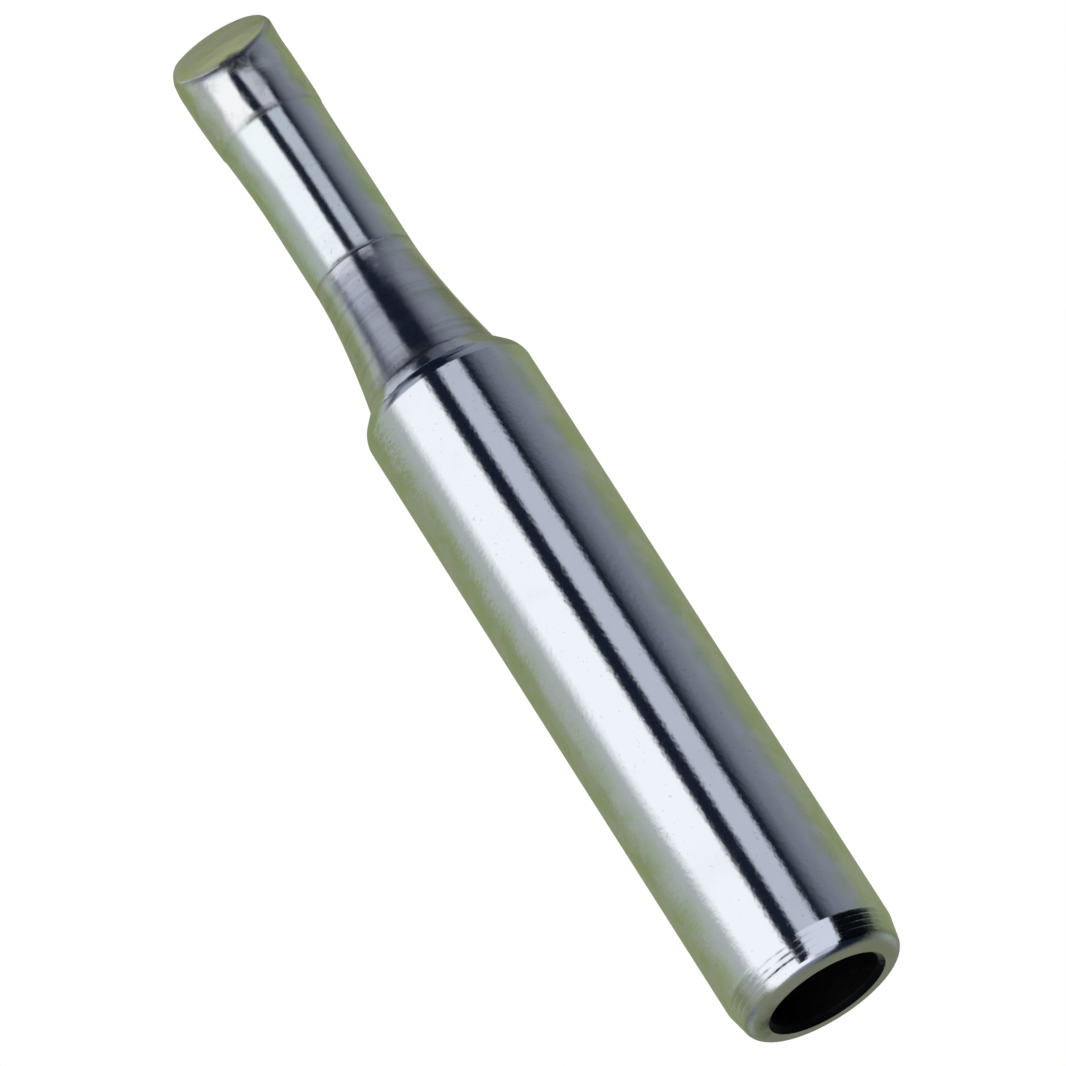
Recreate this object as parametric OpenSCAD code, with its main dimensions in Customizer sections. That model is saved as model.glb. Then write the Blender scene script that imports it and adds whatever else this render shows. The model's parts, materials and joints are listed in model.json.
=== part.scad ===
// Soldering iron tip, turned from one bar: a hollow barrel that slips over a heater,
// a shoulder that the iron's sleeve clamps, a waisted nose and a bevelled, tinned end.
// It stands on its open rim at z = 0, with the bevelled end up. Lengths are in millimetres.

/* [Barrel] */
// Outside diameter of the barrel
barrel_d = 6.5; // [5.8:0.1:8.5]
// Length from the open rim to the edge of the shoulder
barrel_length = 26.2; // [22:0.1:32]
// Length of the conical shoulder that the iron's sleeve presses on
shoulder_length = 0.8; // [0.6:0.05:2.5]
// Depth of that cone, from the barrel in to the neck
shoulder_depth = 0.68; // [0.4:0.02:1.1]
// Radius of the rounded edge where the barrel turns into the cone
shoulder_round = 0.8; // [0.2:0.1:1]
// Radius of the hollow corner where the cone meets the neck
root_round = 0.4; // [0.1:0.1:0.8]

/* [Bore] */
// Diameter of the blind bore that takes the heater
bore_d = 4.2; // [3.6:0.1:4.6]
// Distance from the end of the bore's straight wall up to the shoulder
bore_stop = 1.2; // [0.5:0.1:6]
// Point angle of the drill that left the bore's end
drill_point_angle = 118; // [90:2:140]

/* [Rim] */
// Radius of the rounded outer edge of the open rim
rim_round = 0.5; // [0.2:0.02:0.7]
// Length of the slight taper from the rim's plane to the straight barrel
rim_taper_length = 1.25; // [1:0.05:3]
// Depth of that taper at the rim's plane
rim_taper_depth = 0.26; // [0.06:0.01:0.3]
// Width of the countersink at the bore's mouth
mouth_chamfer = 0.2; // [0.05:0.05:0.3]

/* [Nose] */
// Length from the shoulder to the furthest point of the bevelled end
nose_length = 16.9; // [14:0.1:22]
// Length of the waisted neck, from the shoulder to the turned line
neck_length = 5.05; // [3:0.05:7]
// How sharply the neck curves in, where 1 is a straight cone
neck_curve = 1.6; // [1:0.1:3]
// Width of the turned line that ends the neck
line_width = 0.14; // [0.05:0.01:0.3]
// Depth of that line
line_depth = 0.04; // [0.01:0.01:0.1]
// Diameter of the slim shaft in front of the neck
shaft_d = 3.86; // [3:0.02:4]
// Length of plated shaft that swells out to meet the tinning
swell_length = 2.5; // [0.5:0.1:3]

/* [Working end] */
// Diameter of the tinned end where the bevel starts
head_d = 4.16; // [4.04:0.02:4.6]
// Length of the tinned end, back from the furthest point
tinned_length = 5.6; // [4.8:0.1:7]
// Height of the step where the tinning ends
tin_step = 0.03; // [0.01:0.01:0.06]
// Angle between the bevelled face and the tip's axis
bevel_angle = 52; // [46:1:85]
// Height of the crown that the solder gives the bevelled face
face_crown = 0.08; // [0.02:0.01:0.2]

/* [Hidden] */
$fn = 96;

barrel_r = barrel_d / 2;
bore_r = bore_d / 2;
shaft_r = shaft_d / 2;
head_r = head_d / 2;
neck_root_r = barrel_r - shoulder_depth;

bore_depth = barrel_length - bore_stop;
drill_point = bore_r / tan(drill_point_angle / 2);
shoulder_end = barrel_length + shoulder_length;
neck_end = shoulder_end + neck_length;
total_length = shoulder_end + nose_length;
tinned_start = total_length - tinned_length;
swell_start = tinned_start - swell_length;

// The bevel is a plane through the furthest point, and its outline is an ellipse
bevel_tilt = 90 - bevel_angle;
bevel_start = total_length - head_d * tan(bevel_tilt);
face_half_length = head_r / cos(bevel_tilt);
face_centre_z = (bevel_start + total_length) / 2;
crown_r = (pow(face_half_length, 2) + pow(face_crown, 2)) / (2 * face_crown);

round_steps = 12;
neck_steps = 14;
swell_steps = 8;
clearance = 1;

// Places of the section's corners, each a radius and a height
rim_corner = [barrel_r - rim_taper_depth, 0];
taper_corner = [barrel_r, rim_taper_length];
shoulder_corner = [barrel_r, barrel_length];
root_corner = [neck_root_r, shoulder_end];

function unit(v) = v / norm(v);

// The arc that rounds the corner at a point of the section, between its two neighbours
function rounded(before, corner, after, radius) =
    let (to_before = unit(before - corner),
         to_after = unit(after - corner),
         half_angle = acos(to_before * to_after) / 2,
         centre = corner + unit(to_before + to_after) * radius / sin(half_angle),
         spoke = corner + to_before * radius / tan(half_angle) - centre,
         turn = sign(cross(to_after, to_before)) * (180 - 2 * half_angle),
         start = atan2(spoke.y, spoke.x))
    [
        for (i = [0 : round_steps])
            let (a = start + turn * i / round_steps)
            centre + radius * [cos(a), sin(a)]
    ];

// The neck's radius falls from its root to the shaft, steeply first and then level
function neck_point(u) =
    [shaft_r + (neck_root_r - shaft_r) * pow(1 - u, neck_curve),
     shoulder_end + u * (neck_length - line_width)];

function neck() = [for (i = [1 : neck_steps]) neck_point(i / neck_steps)];

// Radius of the swelling end at a height: half a cosine wave from the shaft to the head
function swell_r(z) =
    let (u = (z - swell_start) / (bevel_start - swell_start))
    shaft_r + (head_r - tin_step - shaft_r) * (1 - cos(180 * u)) / 2;

// A stretch of that wave between two heights, raised by the thickness of the tinning
function swell(from_z, to_z, thickness) = [
    for (i = [0 : swell_steps])
        let (z = from_z + (to_z - from_z) * i / swell_steps)
        [swell_r(z) + thickness, z]
];

// Half section of the whole turned piece, from the axis out along the rim and up
module outer_section() {
    polygon(concat(
        [[0, 0]],
        rounded([0, 0], rim_corner, taper_corner, rim_round),
        [taper_corner],
        rounded(taper_corner, shoulder_corner, root_corner, shoulder_round),
        rounded(shoulder_corner, root_corner, neck_point(1 / neck_steps), root_round),
        neck(),
        [[shaft_r - line_depth, neck_end - line_width / 2],
         [shaft_r, neck_end]],
        swell(swell_start, tinned_start, 0),
        swell(tinned_start + tin_step, bevel_start, tin_step),
        [[head_r, total_length + clearance],
         [0, total_length + clearance]]
    ));
}

// Half section of what the drill and the countersink take out
module bore_section() {
    polygon([
        [0, -clearance],
        [bore_r + mouth_chamfer + clearance, -clearance],
        [bore_r, mouth_chamfer],
        [bore_r, bore_depth],
        [0, bore_depth + drill_point]
    ]);
}

// What the bevel takes off: all above its plane, apart from the crown of solder
module bevel_cut() {
    cut_size = 4 * face_half_length;
    translate([0, 0, face_centre_z])
        rotate([bevel_tilt, 0, 0])
            difference() {
                translate([-cut_size / 2, -cut_size / 2, 0])
                    cube(cut_size);
                translate([0, 0, face_crown - crown_r])
                    sphere(crown_r);
            }
}

module soldering_tip() {
    color("silver")
        difference() {
            rotate_extrude()
                outer_section();
            rotate_extrude()
                bore_section();
            bevel_cut();
        }
}

soldering_tip();
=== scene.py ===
# %% [markdown]
# A slip-on soldering iron tip. On the bench it is one turned piece of copper: a hollow
# barrel, a shoulder, a slim neck and a bevelled end, all plated, and tinned with solder
# at the end that does the work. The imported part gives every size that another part
# depends on, so the script reads those sizes from its mounts and writes down only the rest.

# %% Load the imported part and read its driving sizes
import json
import math

import bmesh
import bpy
from mathutils import Matrix, Vector, noise

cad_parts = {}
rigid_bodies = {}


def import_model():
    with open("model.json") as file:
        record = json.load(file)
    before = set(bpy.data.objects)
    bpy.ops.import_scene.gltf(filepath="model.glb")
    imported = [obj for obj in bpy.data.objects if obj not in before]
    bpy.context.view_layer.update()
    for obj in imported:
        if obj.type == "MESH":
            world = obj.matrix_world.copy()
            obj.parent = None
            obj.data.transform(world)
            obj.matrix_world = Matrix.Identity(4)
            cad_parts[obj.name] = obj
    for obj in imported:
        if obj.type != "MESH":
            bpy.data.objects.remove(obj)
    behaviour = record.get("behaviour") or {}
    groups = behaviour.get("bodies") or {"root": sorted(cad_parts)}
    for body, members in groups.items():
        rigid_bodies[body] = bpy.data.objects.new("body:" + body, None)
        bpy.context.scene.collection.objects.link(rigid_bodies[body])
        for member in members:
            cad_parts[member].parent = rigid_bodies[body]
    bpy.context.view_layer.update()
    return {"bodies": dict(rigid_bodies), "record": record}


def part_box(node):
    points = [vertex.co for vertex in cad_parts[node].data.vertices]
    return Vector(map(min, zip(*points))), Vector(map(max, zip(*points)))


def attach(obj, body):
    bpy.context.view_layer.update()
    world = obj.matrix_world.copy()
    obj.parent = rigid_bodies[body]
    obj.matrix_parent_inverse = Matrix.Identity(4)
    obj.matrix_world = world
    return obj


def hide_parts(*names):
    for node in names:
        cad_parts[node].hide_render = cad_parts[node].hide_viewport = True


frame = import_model()

MM = 0.001
NODE = "soldering_tip"
mounts = {mount["name"]: mount for mount in frame["record"]["mounts"]}


def mount_span(name):
    """Lowest and highest point of a round mount's wall, in millimetres."""
    middle = mounts[name]["pos_m"][2] / MM
    half = mounts[name]["dims"]["length_mm"] / 2
    return middle - half, middle + half


barrel_r = mounts["barrel"]["dims"]["r_mm"]
bore_r = mounts["heater_bore"]["dims"]["r_mm"]
mouth_top, wall_end = mount_span("heater_bore")
shoulder_z = mounts["shoulder"]["pos_m"][2] / MM
top_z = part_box(NODE)[1].z / MM
print(f"barrel {2 * barrel_r:.2f} mm across, shoulder at {shoulder_z:.2f} mm, top at {top_z:.2f} mm")

# %% [markdown]
# The camera stands below the tip and looks up past its open end, rolled so that the tip
# leans to the upper left. It could be placed by eye, but a long lens hides small errors
# of angle, so the direction, roll and distance are written as numbers and turned into
# three axes. The aim is then moved off the axis until the tip sits in the frame as it should.

# %% Direction and roll of the camera
CAMERA_AZIMUTH = 1.5
CAMERA_ELEVATION = -22.08
CAMERA_ROLL = -32.594


def direction(azimuth, elevation):
    """Unit vector from the tip towards a viewer at that azimuth and elevation, in degrees."""
    a, e = math.radians(azimuth), math.radians(elevation)
    return Vector((math.sin(a) * math.cos(e), -math.cos(a) * math.cos(e), math.sin(e)))


def rolled_axes(back):
    """Right and up of a camera that stands in this direction, once it is rolled."""
    level = Vector((0, 0, 1)).cross(back).normalized()
    upright = back.cross(level)
    roll = math.radians(CAMERA_ROLL)
    right = level * math.cos(roll) + upright * math.sin(roll)
    up = upright * math.cos(roll) - level * math.sin(roll)
    return right, up


print(f"camera {-CAMERA_ELEVATION:.0f} degrees below the tip, rolled by {-CAMERA_ROLL:.0f} degrees")

# %% Camera
FRAME_PX = 1066
FOCAL_PX = 13020
SENSOR_MM = 36
CAMERA_DISTANCE = 0.45
AIM_Z = 0.0166
AIM_OFFSET_PX = (51.3, 80.0)


def make_camera():
    """The camera, its aim moved off the axis by a few pixels."""
    back = direction(CAMERA_AZIMUTH, CAMERA_ELEVATION)
    right, up = rolled_axes(back)
    aim = -back - right * (AIM_OFFSET_PX[0] / FOCAL_PX) + up * (AIM_OFFSET_PX[1] / FOCAL_PX)
    aim.normalize()
    right = aim.cross(up).normalized()
    up = right.cross(aim)
    data = bpy.data.cameras.new("camera")
    data.sensor_width = SENSOR_MM
    data.lens = SENSOR_MM * FOCAL_PX / FRAME_PX
    data.clip_start, data.clip_end = 0.01, 10
    camera = bpy.data.objects.new("camera", data)
    bpy.context.scene.collection.objects.link(camera)
    place = Matrix((right, up, -aim)).transposed().to_4x4()
    place.translation = Vector((0, 0, AIM_Z)) + back * CAMERA_DISTANCE
    camera.matrix_world = place
    return camera


bpy.context.scene.camera = make_camera()
print(f"lens {bpy.context.scene.camera.data.lens:.0f} mm, {CAMERA_DISTANCE * 1000:.0f} mm away")

# %% [markdown]
# A material is a tree of nodes, and the same few steps come back in all of them: place a
# node, set its properties, link it to the next. They could be clicked together in the
# editor. In a script, two small helpers make a tree read like a list of its nodes.

# %% Helpers for materials
def new_material(name):
    """A material with an empty node tree."""
    material = bpy.data.materials.new(name)
    material.use_nodes = True
    material.node_tree.nodes.clear()
    return material


def add(tree, kind, **values):
    """A node in a tree, with its properties and its unlinked inputs set by name."""
    made = tree.nodes.new(kind)
    for key, value in values.items():
        if hasattr(made, key):
            setattr(made, key, value)
        else:
            made.inputs[key.replace("_", " ")].default_value = value
    return made


print("a material starts with no node, and add() puts one in")

# %% [markdown]
# The floor is a pale sheet of paper that the tip stands on. The camera is below it, so its
# underside has to be clear. It could be hidden for this one view, but the same scene is
# also seen from above, so the shader mixes in Transparent wherever the back of the face
# is seen. Its outer part fades out, so that no edge shows against the white world.

# %% Paper of the floor
FLOOR_RADIUS = 1.2
FLOOR_FADE = 0.5
FLOOR_COLOUR = (0.86, 0.86, 0.85, 1)


def make_floor_paper():
    """Paper that is clear from behind and fades out towards its edge."""
    material = new_material("floor_paper")
    tree = material.node_tree
    link = tree.links.new
    place = add(tree, "ShaderNodeTexCoord")
    length = add(tree, "ShaderNodeVectorMath", operation="LENGTH")
    fade = add(tree, "ShaderNodeMapRange", interpolation_type="SMOOTHSTEP")
    fade.inputs["From Min"].default_value = FLOOR_FADE * FLOOR_RADIUS
    fade.inputs["From Max"].default_value = FLOOR_RADIUS
    geometry = add(tree, "ShaderNodeNewGeometry")
    most = add(tree, "ShaderNodeMath", operation="MAXIMUM")
    diffuse = add(tree, "ShaderNodeBsdfDiffuse", Color=FLOOR_COLOUR)
    clear = add(tree, "ShaderNodeBsdfTransparent")
    mix = add(tree, "ShaderNodeMixShader")
    out = add(tree, "ShaderNodeOutputMaterial")
    link(place.outputs["Object"], length.inputs[0])
    link(length.outputs["Value"], fade.inputs["Value"])
    link(fade.outputs["Result"], most.inputs[0])
    link(geometry.outputs["Backfacing"], most.inputs[1])
    link(most.outputs["Value"], mix.inputs["Fac"])
    link(diffuse.outputs["BSDF"], mix.inputs[1])
    link(clear.outputs["BSDF"], mix.inputs[2])
    link(mix.outputs["Shader"], out.inputs["Surface"])
    return material


paper = make_floor_paper()
print(f"{paper.name} fades out from {FLOOR_FADE * FLOOR_RADIUS:.1f} m")

# %% Floor
FLOOR_SEGMENTS = 96


def make_floor():
    """A round sheet of the paper. Reflections leave it out, because the dome gives them."""
    bm = bmesh.new()
    bmesh.ops.create_circle(bm, cap_ends=True, segments=FLOOR_SEGMENTS, radius=FLOOR_RADIUS)
    mesh = bpy.data.meshes.new("floor")
    bm.to_mesh(mesh)
    bm.free()
    mesh.materials.append(paper)
    floor = bpy.data.objects.new("floor", mesh)
    bpy.context.scene.collection.objects.link(floor)
    floor.visible_glossy = False


make_floor()
print(f"floor {2 * FLOOR_RADIUS:.1f} m across")

# %% [markdown]
# Polished plating has no colour of its own to speak of: what it shows is the room. So
# the light comes in three parts: the white world is the backdrop, a soft lamp gives the
# floor its shading, and a dome round the tip is what the plating reflects. The world could
# be plain white for everything, but then the paper would clip. Light Path tells which ray
# asks, so only what is seen is full white, and the light that falls on the floor is softer.

# %% World
WORLD_WHITE = 1.0
WORLD_SOFT = 0.62


def make_world():
    """A white world that is softer for the rays that light the floor."""
    world = bpy.data.worlds.new("studio")
    world.use_nodes = True
    tree = world.node_tree
    tree.nodes.clear()
    link = tree.links.new
    path = add(tree, "ShaderNodeLightPath")
    first = add(tree, "ShaderNodeMath", operation="MAXIMUM")
    seen = add(tree, "ShaderNodeMath", operation="MAXIMUM")
    strength = add(tree, "ShaderNodeMapRange")
    strength.inputs["To Min"].default_value = WORLD_SOFT
    strength.inputs["To Max"].default_value = WORLD_WHITE
    background = add(tree, "ShaderNodeBackground")
    background.inputs["Color"].default_value = (1, 1, 1, 1)
    out = add(tree, "ShaderNodeOutputWorld")
    link(path.outputs["Is Camera Ray"], first.inputs[0])
    link(path.outputs["Is Glossy Ray"], first.inputs[1])
    link(first.outputs["Value"], seen.inputs[0])
    link(path.outputs["Is Transmission Ray"], seen.inputs[1])
    link(seen.outputs["Value"], strength.inputs["Value"])
    link(strength.outputs["Result"], background.inputs["Strength"])
    link(background.outputs["Background"], out.inputs["Surface"])
    bpy.context.scene.world = world


make_world()
bpy.context.scene.view_settings.view_transform = "Standard"
print(f"world {WORLD_WHITE} where it's seen, {WORLD_SOFT} on the floor")

# %% [markdown]
# The lamp is the softbox that stands to the left of the table. A point of light would do
# for the brightness, but its shadow would be hard, so it is a square area lamp. It turns its
# face to the tip, and it is hidden from reflections, where the dome takes its place.

# %% Lamp
LAMP_SIZE = 0.35
LAMP_POWER = 3.2
LAMP_AT = Vector((-0.3, -0.25, 0.55))


def make_lamp():
    """A soft lamp that shines on the tip."""
    data = bpy.data.lights.new("soft_lamp", "AREA")
    data.size = LAMP_SIZE
    data.energy = LAMP_POWER
    lamp = bpy.data.objects.new("soft_lamp", data)
    lamp.location = LAMP_AT
    lamp.rotation_euler = LAMP_AT.to_track_quat("Z", "Y").to_euler()
    lamp.visible_glossy = False
    lamp.visible_camera = False
    bpy.context.scene.collection.objects.link(lamp)


make_lamp()
print(f"lamp of {LAMP_POWER} W, {LAMP_AT.length:.2f} m away")

# %% [markdown]
# The dome is a light tent, as a product photographer builds it, with white sheets and black
# flags round the piece. Here it is one large sphere, and its sheets are painted on it. First
# come their colours, as they look in the plating, from the cloth's olive to the flags' black.

# %% Colours of the light dome
OLIVE = (0.555, 0.585, 0.465)
OLIVE_GREY = (0.49, 0.502, 0.425)
MOSS = (0.615, 0.635, 0.495)
SAGE = (0.665, 0.695, 0.68)
DIM_SAGE = (0.60, 0.62, 0.60)
DUSK = (0.55, 0.56, 0.505)
WHITE = (0.985, 0.993, 1.0)
PEARL = (0.735, 0.755, 0.80)
LILAC = (0.72, 0.74, 0.80)
PALE = (0.83, 0.85, 0.895)
SLATE = (0.45, 0.475, 0.52)
BLUE_GREY = (0.51, 0.535, 0.57)
STEEL = (0.63, 0.65, 0.70)
CHARCOAL = (0.33, 0.35, 0.41)
INK = (0.07, 0.10, 0.16)
JET = (0.02, 0.03, 0.05)
print(f"the brightest sheet is {sum(WHITE) / sum(JET):.0f} times the darkest flag")

# %% [markdown]
# The colours are laid out as a plan: zones one above the other, each with cards from one
# azimuth to the next, measured from the camera's own direction. On an upright wall the
# reflected ray keeps its slope, so the main zone, a little above the horizon, is the one
# that the barrel shows as long stripes. Zones above it show on what leans back, such as the
# neck and the shoulder, and those below it on the rim's rounded edge. Separate planes of
# cloth would do the same, but a plan keeps each stripe's place in one number.

# %% Plan of the light dome
# Each zone: lowest elevation, softness of that border, and cards as (azimuth where the card
# starts, softness of that border, colour), all in degrees
ZONES = (
    (-90, 1, ((-180, 1, OLIVE_GREY), (-62, 30, SLATE), (46, 4, INK), (112, 14, OLIVE_GREY))),
    (-54, 12, ((-180, 1, OLIVE_GREY), (-64, 18, WHITE), (10, 10, LILAC), (48, 4, INK),
               (112, 10, OLIVE_GREY))),
    (-26, 8, ((-180, 1, OLIVE_GREY), (-150, 12, LILAC), (-130, 6, INK), (-118, 14, SLATE),
              (-96, 18, DUSK), (-62, 14, WHITE), (-10, 4, INK), (2, 4, PALE), (47, 4, JET),
              (104, 14, SLATE), (126, 6, LILAC), (150, 10, OLIVE_GREY))),
    (-8, 5, ((-180, 1, OLIVE_GREY), (-92, 16, DIM_SAGE), (-62, 14, WHITE), (-10, 4, INK),
             (7, 4, PALE), (50, 4, JET), (108, 8, OLIVE_GREY))),
    (8, 8, ((-180, 1, OLIVE), (-104, 24, SAGE), (-66, 16, WHITE), (-11, 6, INK), (9, 5, PEARL),
            (37.5, 6, INK), (56, 22, SLATE), (78, 14, BLUE_GREY), (108, 24, OLIVE))),
    (29.8, 2, ((-180, 1, OLIVE), (-104, 20, SAGE), (-78, 8, SLATE), (-64, 14, LILAC),
               (-13, 7, INK), (20, 16, CHARCOAL), (50, 30, BLUE_GREY), (114, 18, OLIVE_GREY))),
    (36.5, 8, ((-180, 1, OLIVE), (-104, 20, SAGE), (-80, 10, CHARCOAL), (-58, 16, STEEL),
               (-15, 8, INK), (42, 26, SLATE), (66, 20, BLUE_GREY), (114, 18, OLIVE_GREY))),
    (56, 4, ((-180, 1, MOSS), (-152, 8, PEARL), (-116, 14, SLATE), (-34, 14, INK),
             (70, 30, SLATE), (118, 16, BLUE_GREY), (156, 8, MOSS))),
    (64, 4, ((-180, 1, MOSS), (-164, 6, PEARL), (-112, 12, CHARCOAL), (-52, 16, INK),
             (50, 30, CHARCOAL), (112, 12, SLATE), (164, 6, MOSS))),
    (72, 4, ((-180, 1, PEARL), (-112, 12, SLATE), (-70, 20, INK), (60, 20, CHARCOAL),
             (164, 8, PEARL))),
    (84, 3, ((-180, 1, SLATE), (-130, 30, INK), (110, 30, SLATE))),
)
print(f"{len(ZONES)} zones with {sum(len(zone[2]) for zone in ZONES)} cards in all")

# %% [markdown]
# Colours are written here as they look on a screen, while a shader's socket takes linear
# light, so one helper converts them. The others are the sums, soft thresholds and mixes that
# every tree below is built from. Each takes sockets as well as plain numbers, so that a
# tree reads like a formula instead of a list of links.

# %% Helpers for numbers and colours in a tree
def linear(display):
    """Linear colour of a display colour, as a shader socket takes it."""
    def channel(c):
        """One channel, by the curve of a screen."""
        return c / 12.92 if c <= 0.04045 else ((c + 0.055) / 1.055) ** 2.4
    return tuple(channel(c) for c in display) + (1.0,)


def math_node(tree, operation, *values):
    """A Math node fed by numbers or by the sockets of other nodes; returns its output."""
    made = add(tree, "ShaderNodeMath", operation=operation)
    for socket, value in zip(made.inputs, values):
        if isinstance(value, bpy.types.NodeSocket):
            tree.links.new(value, socket)
        else:
            socket.default_value = value
    return made.outputs["Value"]


def smooth_step(tree, value, low, high):
    """0 below low and 1 above high, with a soft passage between."""
    made = add(tree, "ShaderNodeMapRange", interpolation_type="SMOOTHSTEP")
    made.inputs["From Min"].default_value = low
    made.inputs["From Max"].default_value = high
    tree.links.new(value, made.inputs["Value"])
    return made.outputs["Result"]


def mix_colour(tree, factor, first, second, blend="MIX"):
    """Mix two colours, each a socket or a display colour, by a socket or a number."""
    made = add(tree, "ShaderNodeMix", data_type="RGBA", blend_type=blend)
    sockets = (made.inputs[0], made.inputs[6], made.inputs[7])
    for socket, value in zip(sockets, (factor, first, second)):
        if isinstance(value, bpy.types.NodeSocket):
            tree.links.new(value, socket)
        elif isinstance(value, tuple):
            socket.default_value = linear(value)
        else:
            socket.default_value = value
    return made.outputs[2]


print("the olive cloth in linear light:", [round(c, 3) for c in linear(OLIVE)[:3]])

# %% [markdown]
# On the dome, each zone is a colour ramp that is read by the azimuth, and one zone passes
# into the next by the elevation. Cloth is never taut, though, and a perfect card gives a
# stripe as straight as a ruler, which gives a computer picture away. So noise moves the
# azimuth about a little in front and more behind, where the cloth hangs in folds.

# %% Ramps and wrinkles of the dome
WRINKLES_PER_METRE = Vector((2.5, 2.5, 110))
WRINKLE_FRONT = 2
WRINKLE_BACK = 45
WRINKLE_SIDES = (40, 105)


def zone_ramp(tree, turn, cards):
    """The cards of one zone as a colour ramp over a whole turn."""
    made = add(tree, "ShaderNodeValToRGB")
    stops = made.color_ramp.elements
    stops[0].color = linear(cards[0][2])
    stops[1].color = linear(cards[-1][2])
    for before, (start, soft, colour) in zip(cards, cards[1:]):
        for azimuth, shade in ((start - soft / 2, before[2]), (start + soft / 2, colour)):
            stops.new((azimuth + 180) / 360).color = linear(shade)
    tree.links.new(turn, made.inputs["Fac"])
    return made.outputs["Color"]


def wrinkled(tree, place, turned):
    """The azimuth moved about by folds in the dome's cloth, which are deepest at its back."""
    folds = add(tree, "ShaderNodeVectorMath", operation="MULTIPLY")
    folds.inputs[1].default_value = WRINKLES_PER_METRE
    cloth = add(tree, "ShaderNodeTexNoise", Scale=1.0, Detail=2.0)
    tree.links.new(place.outputs["Object"], folds.inputs[0])
    tree.links.new(folds.outputs["Vector"], cloth.inputs["Vector"])
    behind = smooth_step(tree, math_node(tree, "ABSOLUTE", turned), *WRINKLE_SIDES)
    depth = math_node(tree, "MULTIPLY_ADD", behind, 2 * (WRINKLE_BACK - WRINKLE_FRONT),
                      2 * WRINKLE_FRONT)
    fold = math_node(tree, "SUBTRACT", cloth.outputs["Fac"], 0.5)
    return math_node(tree, "MULTIPLY_ADD", fold, depth, turned)


print(f"folds move a stripe by up to {WRINKLE_FRONT} degrees in front, {WRINKLE_BACK} behind")

# %% Cloth of the dome
def dome_colour(tree):
    """Colour of the dome at a place, read from the plan by azimuth and elevation."""
    place = add(tree, "ShaderNodeTexCoord")
    unit = add(tree, "ShaderNodeVectorMath", operation="NORMALIZE")
    axes = add(tree, "ShaderNodeSeparateXYZ")
    tree.links.new(place.outputs["Object"], unit.inputs[0])
    tree.links.new(unit.outputs["Vector"], axes.inputs["Vector"])
    forward = math_node(tree, "MULTIPLY", axes.outputs["Y"], -1)
    azimuth = math_node(tree, "DEGREES", math_node(tree, "ARCTAN2", axes.outputs["X"], forward))
    turned = math_node(tree, "WRAP", math_node(tree, "SUBTRACT", azimuth, CAMERA_AZIMUTH), 180, -180)
    turned = math_node(tree, "WRAP", wrinkled(tree, place, turned), 180, -180)
    turn = math_node(tree, "MULTIPLY_ADD", turned, 1 / 360, 0.5)
    elevation = math_node(tree, "DEGREES", math_node(tree, "ARCSINE", axes.outputs["Z"]))
    colour = zone_ramp(tree, turn, ZONES[0][2])
    for low, soft, cards in ZONES[1:]:
        share = smooth_step(tree, elevation, low - soft / 2, low + soft / 2)
        colour = mix_colour(tree, share, colour, zone_ramp(tree, turn, cards))
    return colour


def make_dome_cloth():
    """Cloth that glows in the colours of the plan."""
    material = new_material("light_dome")
    tree = material.node_tree
    glow = add(tree, "ShaderNodeEmission")
    out = add(tree, "ShaderNodeOutputMaterial")
    tree.links.new(dome_colour(tree), glow.inputs["Color"])
    tree.links.new(glow.outputs["Emission"], out.inputs["Surface"])
    return material


dome_cloth = make_dome_cloth()
print(f"{dome_cloth.name} has {len(dome_cloth.node_tree.nodes)} nodes")

# %% Light dome
DOME_RADIUS = 0.6
DOME_SEGMENTS = 64


def make_dome():
    """The sphere that only reflections see: it lights no floor and throws no shadow."""
    bm = bmesh.new()
    bmesh.ops.create_uvsphere(bm, u_segments=DOME_SEGMENTS, v_segments=DOME_SEGMENTS // 2,
                              radius=DOME_RADIUS)
    mesh = bpy.data.meshes.new("light_dome")
    bm.to_mesh(mesh)
    bm.free()
    mesh.materials.append(dome_cloth)
    dome = bpy.data.objects.new("light_dome", mesh)
    bpy.context.scene.collection.objects.link(dome)
    dome.visible_camera = False
    dome.visible_diffuse = False
    dome.visible_shadow = False


make_dome()
print(f"light dome {2 * DOME_RADIUS:.1f} m across")

# %% [markdown]
# A turned piece is a section swept round its axis. In Blender that is a few vertices, one
# for each corner of the turning drawing, and the spin operator. Cylinders and cones could be
# joined instead, but then every seam would want mending. A real edge is never razor sharp,
# and polished metal shows it at once, so each corner is written with its reach: the length
# that a vertex bevel will round on both sides of it. The drawing starts in the bore.

# %% Corners of the bore
DRILL_POINT_ANGLE = 118
EDGE_ROUND = 0.03

bore_end = wall_end + bore_r / math.tan(math.radians(DRILL_POINT_ANGLE / 2))


def bore_points():
    """Radius, height and reach of each corner from the drill point out to the countersink."""
    return [(0, bore_end, 0), (bore_r, wall_end, EDGE_ROUND), (bore_r, mouth_top, EDGE_ROUND),
            (bore_r + mouth_top, 0, EDGE_ROUND)]


print(f"bore {wall_end:.1f} mm deep, {bore_end:.2f} mm with its drill point")

# %% [markdown]
# The rim is a flat ring with a rounded outer edge, and a slight taper leads from it to the
# straight barrel. The turning tool has left three fine grooves in that taper. They could be
# bump in the material, but they sit at exact heights, and the residue below wants the same
# heights, so each is three corners of the drawing.

# %% Corners of the rim
RIM_TAPER_LENGTH = 1.25
RIM_TAPER_DEPTH = 0.26
RIM_ROUND = 0.5
RIM_GROOVES = (0.6, 0.82, 1.04)
RIM_GROOVE_WIDTH = 0.08
RIM_GROOVE_DEPTH = 0.002


def reach_of(radius, turn):
    """Length that a round of this radius takes from each side of a corner, turn in degrees."""
    return radius * math.tan(math.radians(turn / 2))


def taper_radius(z):
    """Radius of the taper behind the rim."""
    return barrel_r - RIM_TAPER_DEPTH * (1 - z / RIM_TAPER_LENGTH)


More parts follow.
